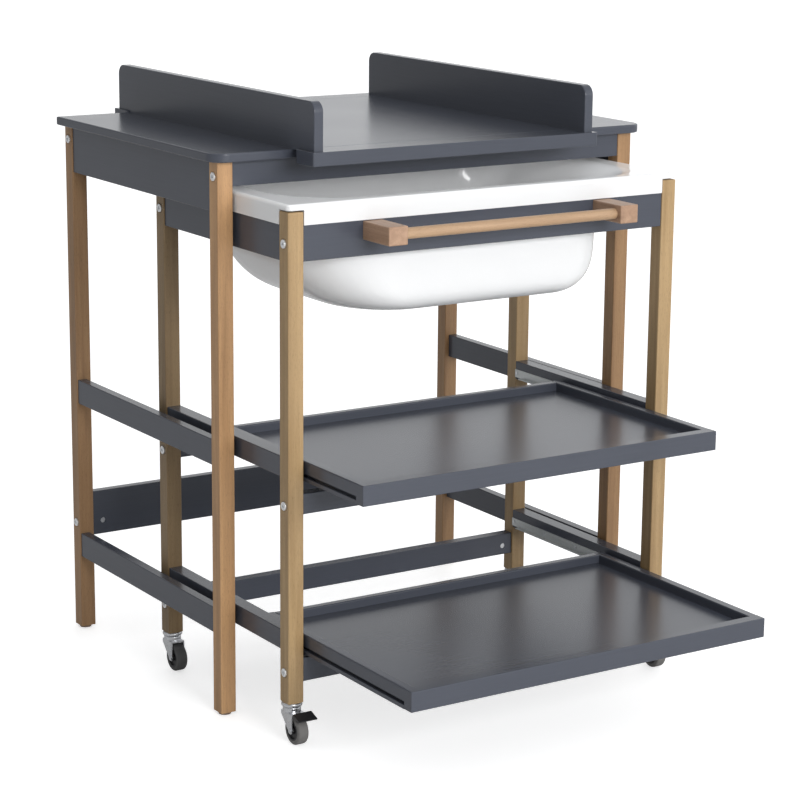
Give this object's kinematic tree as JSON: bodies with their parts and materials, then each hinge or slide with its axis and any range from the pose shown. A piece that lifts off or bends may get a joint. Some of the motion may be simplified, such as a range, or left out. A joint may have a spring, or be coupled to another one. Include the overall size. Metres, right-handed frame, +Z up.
{
  "type": "changing table with bathtub",
  "caption": "Baby changing table: an open wooden frame with a loose changing board on top, and a caster trolley that rolls out from under it with a bathtub, a bar handle and pull-out trays.",
  "frame": {"origin": "on the floor under the middle of the box around the stored pose", "axes": "+X to the right as seen from the front, +Y to the back, +Z up"},
  "size_m": [0.894, 1.1476, 1.0734],
  "materials": {
    "painted_wood": "satin anthracite lacquer",
    "table_post_wood": "oiled reddish-brown hardwood",
    "trolley_post_wood": "oiled yellow-brown hardwood",
    "handle_wood": "oiled beige hardwood",
    "white_plastic": "glossy white",
    "plug_rubber": "matt grey",
    "glide_plastic": "matt brown",
    "zinc_steel": "zinc plated",
    "tyre_rubber": "matt grey",
    "hub_plastic": "matt black",
    "pedal_plastic": "satin black"
  },
  "bodies": {
    "table_frame": {"back_stretcher": "painted_wood", "floor_glides": "glide_plastic", "side_stretchers": "painted_wood", "table_apron_back": "painted_wood", "table_apron_front": "painted_wood", "table_apron_left": "painted_wood", "table_apron_right": "painted_wood", "table_barrel_nuts": "zinc_steel", "table_bolts": "zinc_steel", "table_post_back_left": "table_post_wood", "table_post_back_right": "table_post_wood", "table_post_front_left": "table_post_wood", "table_post_front_right": "table_post_wood", "table_top": "painted_wood"},
    "trolley": {"bathtub": "white_plastic", "caster_stems": "zinc_steel", "handle_bar": "handle_wood", "handle_blocks": "handle_wood", "lower_cross_rails": "painted_wood", "runner_screws": "zinc_steel", "tray_runners": "zinc_steel", "trolley_apron_back": "painted_wood", "trolley_apron_front": "painted_wood", "trolley_apron_left": "painted_wood", "trolley_apron_right": "painted_wood", "trolley_barrel_nuts": "zinc_steel", "trolley_bolts": "zinc_steel", "trolley_post_back_left": "trolley_post_wood", "trolley_post_back_right": "trolley_post_wood", "trolley_post_front_left": "trolley_post_wood", "trolley_post_front_right": "trolley_post_wood", "trolley_side_rails": "painted_wood", "upper_cross_rails": "painted_wood"},
    "brake_pedal_left": {"brake_pedal_left": "pedal_plastic"},
    "brake_pedal_right": {"brake_pedal_right": "pedal_plastic"},
    "fork_back_left": {"caster_fork_back_left": "zinc_steel"},
    "fork_back_right": {"caster_fork_back_right": "zinc_steel"},
    "fork_front_left": {"caster_fork_front_left": "zinc_steel"},
    "fork_front_right": {"caster_fork_front_right": "zinc_steel"},
    "wheel_back_left": {"caster_hub_back_left": "hub_plastic", "caster_tyre_back_left": "tyre_rubber"},
    "wheel_back_right": {"caster_hub_back_right": "hub_plastic", "caster_tyre_back_right": "tyre_rubber"},
    "wheel_front_left": {"caster_hub_front_left": "hub_plastic", "caster_tyre_front_left": "tyre_rubber"},
    "wheel_front_right": {"caster_hub_front_right": "hub_plastic", "caster_tyre_front_right": "tyre_rubber"},
    "changing_board": {"changing_board_back_rail": "painted_wood", "changing_board_front_rail": "painted_wood", "changing_board_guard_left": "painted_wood", "changing_board_guard_right": "painted_wood", "changing_board_panel": "painted_wood"},
    "drain_plug": {"drain_plug": "plug_rubber"},
    "lower_tray": {"lower_tray_floor": "painted_wood", "lower_tray_front": "painted_wood", "lower_tray_rims": "painted_wood"},
    "upper_tray": {"upper_tray_floor": "painted_wood", "upper_tray_front": "painted_wood", "upper_tray_rims": "painted_wood"}
  },
  "joints": [
    {"name": "trolley_roll", "type": "slide", "parent": "table_frame", "child": "trolley", "axis": [0, 1, 0], "range_m": [-0.3, 0.1762]},
    {"name": "upper_tray_slide", "type": "slide", "parent": "trolley", "child": "upper_tray", "axis": [0, -1, 0], "range_m": [-0.1791, 0.1709]},
    {"name": "lower_tray_slide", "type": "slide", "parent": "trolley", "child": "lower_tray", "axis": [0, -1, 0], "range_m": [-0.3273, 0.0227]},
    {"name": "changing_board_lift", "type": "slide", "parent": "table_frame", "child": "changing_board", "axis": [0, 0, 1], "range_m": [0, 0.15]},
    {"name": "drain_plug_lift", "type": "slide", "parent": "trolley", "child": "drain_plug", "axis": [0, 0, 1], "range_m": [0, 0.06]},
    {"name": "caster_swivel_front_left", "type": "hinge", "parent": "trolley", "child": "fork_front_left", "pos_m": [-0.383, -0.23175, 0.06], "axis": [0, 0, 1], "continuous": true},
    {"name": "caster_wheel_spin_front_left", "type": "hinge", "parent": "fork_front_left", "child": "wheel_front_left", "pos_m": [-0.383, -0.24875, 0.025], "axis": [1, 0, 0], "continuous": true},
    {"name": "brake_pedal_press_left", "type": "hinge", "parent": "fork_front_left", "child": "brake_pedal_left", "pos_m": [-0.383, -0.25875, 0.0527], "axis": [1, 0, 0], "range_deg": [0, 12]},
    {"name": "caster_swivel_front_right", "type": "hinge", "parent": "trolley", "child": "fork_front_right", "pos_m": [0.383, -0.23175, 0.06], "axis": [0, 0, 1], "continuous": true},
    {"name": "caster_wheel_spin_front_right", "type": "hinge", "parent": "fork_front_right", "child": "wheel_front_right", "pos_m": [0.383, -0.24875, 0.025], "axis": [1, 0, 0], "continuous": true},
    {"name": "brake_pedal_press_right", "type": "hinge", "parent": "fork_front_right", "child": "brake_pedal_right", "pos_m": [0.383, -0.25875, 0.0527], "axis": [1, 0, 0], "range_deg": [0, 12]},
    {"name": "caster_swivel_back_left", "type": "hinge", "parent": "trolley", "child": "fork_back_left", "pos_m": [-0.383, 0.20585, 0.06], "axis": [0, 0, 1], "continuous": true},
    {"name": "caster_wheel_spin_back_left", "type": "hinge", "parent": "fork_back_left", "child": "wheel_back_left", "pos_m": [-0.383, 0.18885, 0.025], "axis": [1, 0, 0], "continuous": true},
    {"name": "caster_swivel_back_right", "type": "hinge", "parent": "trolley", "child": "fork_back_right", "pos_m": [0.383, 0.20585, 0.06], "axis": [0, 0, 1], "continuous": true},
    {"name": "caster_wheel_spin_back_right", "type": "hinge", "parent": "fork_back_right", "child": "wheel_back_right", "pos_m": [0.383, 0.18885, 0.025], "axis": [1, 0, 0], "continuous": true}
  ]
}
